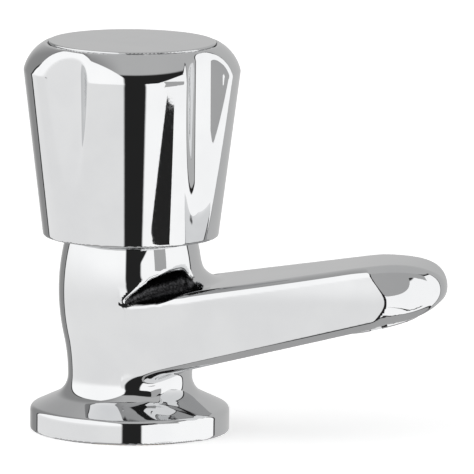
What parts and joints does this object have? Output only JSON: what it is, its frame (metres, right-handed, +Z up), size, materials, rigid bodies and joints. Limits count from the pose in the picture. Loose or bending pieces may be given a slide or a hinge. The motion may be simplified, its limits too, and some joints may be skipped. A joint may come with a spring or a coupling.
{
  "type": "pillar tap",
  "caption": "Basin pillar tap with a fluted four-lobed handle, a straight rising spout, a round flange and a threaded tail with its clamping nut.",
  "frame": {"origin": "centre of the flange's underside, on the plane of the basin's deck", "axes": "+Z up along the spindle, +X along the spout, +Y completes the right-handed frame"},
  "size_m": [0.1039, 0.0524, 0.1449],
  "materials": {
    "chrome": "mirror polished chrome plate",
    "brass": "machined",
    "steel": "zinc plated",
    "rubber": "matt black",
    "fibre": "red fibre sheet",
    "nylon": "white moulded"
  },
  "bodies": {
    "tap_body": {"tap_body": "chrome", "inlet_shank": "brass", "shank_seal": "fibre", "base_gasket": "rubber", "bonnet": "brass", "bonnet_seal": "fibre", "thrust_washer": "nylon", "aerator_housing": "chrome", "aerator_insert": "nylon", "aerator_screen": "nylon", "aerator_washer": "rubber"},
    "handle": {"handle": "chrome", "handle_insert": "nylon", "handle_screw": "steel", "index_cap": "chrome", "cap_o_ring": "rubber", "spindle": "brass", "spindle_o_ring_lower": "rubber", "spindle_o_ring_upper": "rubber", "circlip": "steel"},
    "valve_carriage": {"valve_carriage": "brass", "valve_washer": "rubber", "washer_screw": "brass"},
    "clamp_washers": {"clamp_rubber_washer": "rubber", "clamp_plate_washer": "steel"},
    "backnut": {"backnut": "brass"}
  },
  "joints": [
    {"name": "handle_turn", "type": "hinge", "parent": "tap_body", "child": "handle", "pos_m": [0, 0, 0.06], "axis": [0, 0, 1], "range_deg": [0, 720]},
    {"name": "valve_lift", "type": "slide", "parent": "tap_body", "child": "valve_carriage", "axis": [0, 0, 1], "range_m": [0, 0.005]},
    {"name": "clamp_washers_slide", "type": "slide", "parent": "tap_body", "child": "clamp_washers", "axis": [0, 0, 1], "range_m": [-0.015, 0.0149]},
    {"name": "backnut_turn", "type": "hinge", "parent": "clamp_washers", "child": "backnut", "pos_m": [0, 0, -0.0235], "axis": [0, 0, 1], "range_deg": [-2976, 2957]}
  ],
  "couplings": [
    {"joint": "valve_lift", "follows": "handle_turn", "m_per_rad": 0.00039789},
    {"joint": "clamp_washers_slide", "follows": "backnut_turn", "m_per_rad": 0.00028871}
  ]
}
